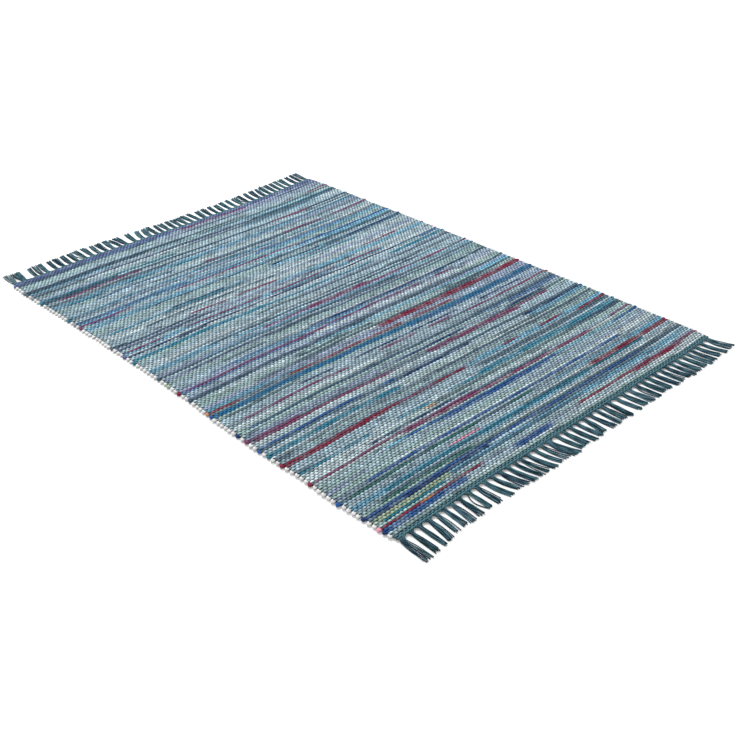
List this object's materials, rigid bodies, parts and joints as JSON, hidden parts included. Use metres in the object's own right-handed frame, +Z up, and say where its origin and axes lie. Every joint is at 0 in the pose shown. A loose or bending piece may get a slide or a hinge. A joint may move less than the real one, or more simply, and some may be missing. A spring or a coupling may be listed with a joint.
{
  "type": "rag rug",
  "caption": "Flat hand-woven rag rug: a striped plain weave of cut cotton rags on a cotton warp, with rag loops along the sides and an unknotted tasselled fringe at each end.",
  "frame": {"origin": "middle of the rug's box, on the floor that the rug lies on", "axes": "+Y along the rug from the near fringe to the far fringe, +X across it from the left selvedge to the right one, +Z up"},
  "size_m": [0.724, 1.0858, 0.0055],
  "materials": {
    "rag_weave": "matt plain weave of cut cotton rags in mixed blues, greys and whites with magenta, crimson and navy stripes, under pale teal cotton warp threads",
    "warp_yarn": "matt plied cotton yarn in dark teal, woven as a narrow heading and left free as tassels with cut ends"
  },
  "bodies": {
    "root": {"rug_body": "rag_weave", "fringe_near": "warp_yarn", "fringe_far": "warp_yarn"}
  },
  "joints": []
}
